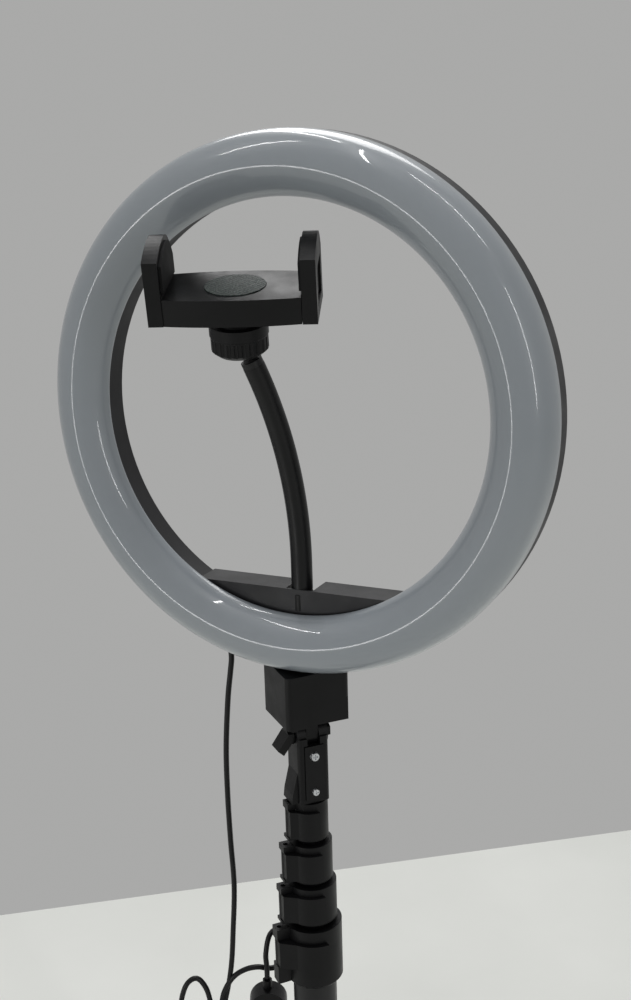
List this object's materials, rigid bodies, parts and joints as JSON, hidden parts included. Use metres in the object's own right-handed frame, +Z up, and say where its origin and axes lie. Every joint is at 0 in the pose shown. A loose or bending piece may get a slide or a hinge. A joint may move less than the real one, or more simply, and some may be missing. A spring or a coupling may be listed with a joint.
{
  "type": "ring light",
  "caption": "USB ring light with a phone clip on a gooseneck, on a telescopic flip-lock stand with folding legs.",
  "frame": {"origin": "on the floor, under the axis of the mast, at the middle of its rubber foot", "axes": "+Z up along the mast; the ring's diffuser faces -Y; +X is to the right of a person who faces the light"},
  "size_m": [0.3392, 0.3617, 0.735],
  "materials": {
    "housing": "moulded, fine spark texture",
    "diffuser": "milky white, glossy, slightly translucent",
    "board": "white solder mask",
    "led": "yellow phosphor",
    "screw_steel": "zinc plated",
    "black_plastic": "moulded ABS, fine texture",
    "black_metal": "satin black coating",
    "gooseneck": "satin sleeve over a steel coil",
    "disc": "woven zig-zag texture",
    "pad": "soft, matt",
    "brass": "turned",
    "foot_rubber": "matt",
    "cord_rubber": "smooth PVC",
    "key": "polished"
  },
  "bodies": {
    "stand_base": {"mast_tube_1": "black_metal", "lock_collar_1": "black_plastic", "leg_hub": "black_plastic", "column_foot": "foot_rubber"},
    "mast_2": {"mast_tube_2": "black_metal", "lock_collar_2": "black_plastic"},
    "mast_3": {"mast_tube_3": "black_metal", "lock_collar_3": "black_plastic"},
    "mast_4": {"mast_tube_4": "black_metal", "lock_collar_4": "black_plastic"},
    "mast_top": {"mast_tube_5": "black_metal", "neck_body": "black_plastic", "neck_cover": "black_plastic", "neck_screws": "screw_steel", "usb_cord_upper": "cord_rubber", "usb_cord_lower": "cord_rubber", "cord_coil": "cord_rubber", "cord_tie": "cord_rubber", "controller_shell": "black_plastic", "controller_cover": "black_plastic", "usb_plug_body": "cord_rubber", "usb_plug_shield": "screw_steel"},
    "light_head": {"ring_housing": "housing", "diffuser": "diffuser", "led_board": "board", "leds": "led", "rear_screws": "screw_steel", "bridge": "housing", "cord_gland": "cord_rubber", "thread_insert": "brass", "head_block": "black_plastic", "mount_screw": "screw_steel", "arm_ferrule": "black_plastic"},
    "tilt_lever_body": {"tilt_lever": "black_plastic"},
    "arm_1": {"gooseneck_1": "gooseneck"},
    "arm_2": {"gooseneck_2": "gooseneck"},
    "arm_3": {"gooseneck_3": "gooseneck"},
    "stud_body": {"ball_stud": "black_metal"},
    "clip_body": {"clip_socket": "black_plastic", "clip_base": "black_plastic", "clip_cover": "black_plastic", "clip_disc": "disc", "clip_pad_left": "pad", "clip_guide_rods": "screw_steel", "clip_spring": "screw_steel"},
    "jaw_body": {"clip_jaw": "black_plastic", "clip_pad_right": "pad"},
    "nut_body": {"clip_nut": "black_plastic"},
    "power_key": {"button_power": "key"},
    "dimmer_key": {"rocker_dimmer": "key"},
    "lever_1": {"lock_lever_1": "black_plastic"},
    "lever_2": {"lock_lever_2": "black_plastic"},
    "lever_3": {"lock_lever_3": "black_plastic"},
    "lever_4": {"lock_lever_4": "black_plastic"},
    "leg_1_body": {"leg_1": "black_metal", "leg_foot_1": "foot_rubber"},
    "leg_2_body": {"leg_2": "black_metal", "leg_foot_2": "foot_rubber"},
    "leg_3_body": {"leg_3": "black_metal", "leg_foot_3": "foot_rubber"}
  },
  "joints": [
    {"name": "mast_slide_1", "type": "slide", "parent": "stand_base", "child": "mast_2", "axis": [0, 0, 1], "range_m": [0, 0.2]},
    {"name": "mast_slide_2", "type": "slide", "parent": "mast_2", "child": "mast_3", "axis": [0, 0, 1], "range_m": [0, 0.2]},
    {"name": "mast_slide_3", "type": "slide", "parent": "mast_3", "child": "mast_4", "axis": [0, 0, 1], "range_m": [0, 0.2]},
    {"name": "mast_slide_4", "type": "slide", "parent": "mast_4", "child": "mast_top", "axis": [0, 0, 1], "range_m": [0, 0.2]},
    {"name": "lock_lever_1_open", "type": "hinge", "parent": "stand_base", "child": "lever_1", "pos_m": [-0.01325, -0.01471, 0.3145], "axis": [0, 0, -1], "range_deg": [0, 100]},
    {"name": "lock_lever_2_open", "type": "hinge", "parent": "mast_2", "child": "lever_2", "pos_m": [-0.01114, -0.01237, 0.3413], "axis": [0, 0, -1], "range_deg": [0, 100]},
    {"name": "lock_lever_3_open", "type": "hinge", "parent": "mast_3", "child": "lever_3", "pos_m": [-0.0096, -0.01066, 0.365], "axis": [0, 0, -1], "range_deg": [0, 100]},
    {"name": "lock_lever_4_open", "type": "hinge", "parent": "mast_4", "child": "lever_4", "pos_m": [-0.00753, -0.00836, 0.3887], "axis": [0, 0, -1], "range_deg": [0, 100]},
    {"name": "leg_1_fold", "type": "hinge", "parent": "stand_base", "child": "leg_1_body", "pos_m": [0.02685, -0.00282, 0.062], "axis": [-0.1045, -0.9945, 0], "range_deg": [0, 106]},
    {"name": "leg_2_fold", "type": "hinge", "parent": "stand_base", "child": "leg_2_body", "pos_m": [-0.01098, 0.02467, 0.062], "axis": [0.9135, 0.4067, 0], "range_deg": [0, 106]},
    {"name": "leg_3_fold", "type": "hinge", "parent": "stand_base", "child": "leg_3_body", "pos_m": [-0.01587, -0.02184, 0.062], "axis": [-0.809, 0.5878, 0], "range_deg": [0, 106]},
    {"name": "ring_tilt", "type": "hinge", "parent": "mast_top", "child": "light_head", "pos_m": [0, 0, 0.437], "axis": [0.6691, 0.7431, 0], "range_deg": [-30, 60], "deforming": ["usb_cord_upper"]},
    {"name": "tilt_lever_turn", "type": "hinge", "parent": "mast_top", "child": "tilt_lever_body", "pos_m": [0, 0, 0.437], "axis": [0.6691, 0.7431, 0], "range_deg": [0, 60]},
    {"name": "goose_bend_1", "type": "hinge", "parent": "light_head", "child": "arm_1", "pos_m": [0.0016, -0.0036, 0.5297], "axis": [0.7749, -0.632, 0], "range_deg": [0, 12], "deforming": ["gooseneck_1", "gooseneck_2", "gooseneck_3"]},
    {"name": "goose_bend_2", "type": "hinge", "parent": "arm_1", "child": "arm_2", "pos_m": [0.00009, -0.00546, 0.56366], "axis": [0.7749, -0.632, 0], "range_deg": [0, 12], "deforming": ["gooseneck_1", "gooseneck_2", "gooseneck_3"]},
    {"name": "goose_bend_3", "type": "hinge", "parent": "arm_2", "child": "arm_3", "pos_m": [-0.00442, -0.01099, 0.59694], "axis": [0.7749, -0.632, 0], "range_deg": [0, 12], "deforming": ["gooseneck_1", "gooseneck_2", "gooseneck_3"]},
    {"name": "stud_swivel", "type": "hinge", "parent": "arm_3", "child": "stud_body", "pos_m": [-0.01599, -0.02516, 0.6435], "axis": [-0.2591, -0.3177, 0.9121], "range_deg": [-20, 20]},
    {"name": "clip_tilt", "type": "hinge", "parent": "stud_body", "child": "clip_body", "pos_m": [-0.01599, -0.02516, 0.6435], "axis": [0.9354, 0.3535, 0], "range_deg": [-10, 10]},
    {"name": "nut_spin", "type": "hinge", "parent": "clip_body", "child": "nut_body", "pos_m": [-0.01599, -0.02516, 0.6435], "axis": [0.0939, -0.2484, 0.9641], "continuous": true},
    {"name": "jaw_slide", "type": "slide", "parent": "clip_body", "child": "jaw_body", "axis": [0.9354, 0.3535, 0], "range_m": [0, 0.024], "stiffness_N_per_m": 150, "springref_m": -0.02, "deforming": ["clip_spring"]},
    {"name": "power_press", "type": "slide", "parent": "mast_top", "child": "power_key", "axis": [-0.4384, 0.8988, 0], "range_m": [0, 0.0007], "stiffness_N_per_m": 120, "springref_m": -0.004},
    {"name": "dimmer_rock", "type": "hinge", "parent": "mast_top", "child": "dimmer_key", "pos_m": [-0.02903, -0.00154, 0.237], "axis": [0.8988, 0.4384, 0], "range_deg": [-4, 4], "stiffness_Nm_per_rad": 0.05}
  ],
  "couplings": [
    {"joint": "goose_bend_2", "follows": "goose_bend_1", "ratio": 1},
    {"joint": "goose_bend_3", "follows": "goose_bend_1", "ratio": 1}
  ]
}
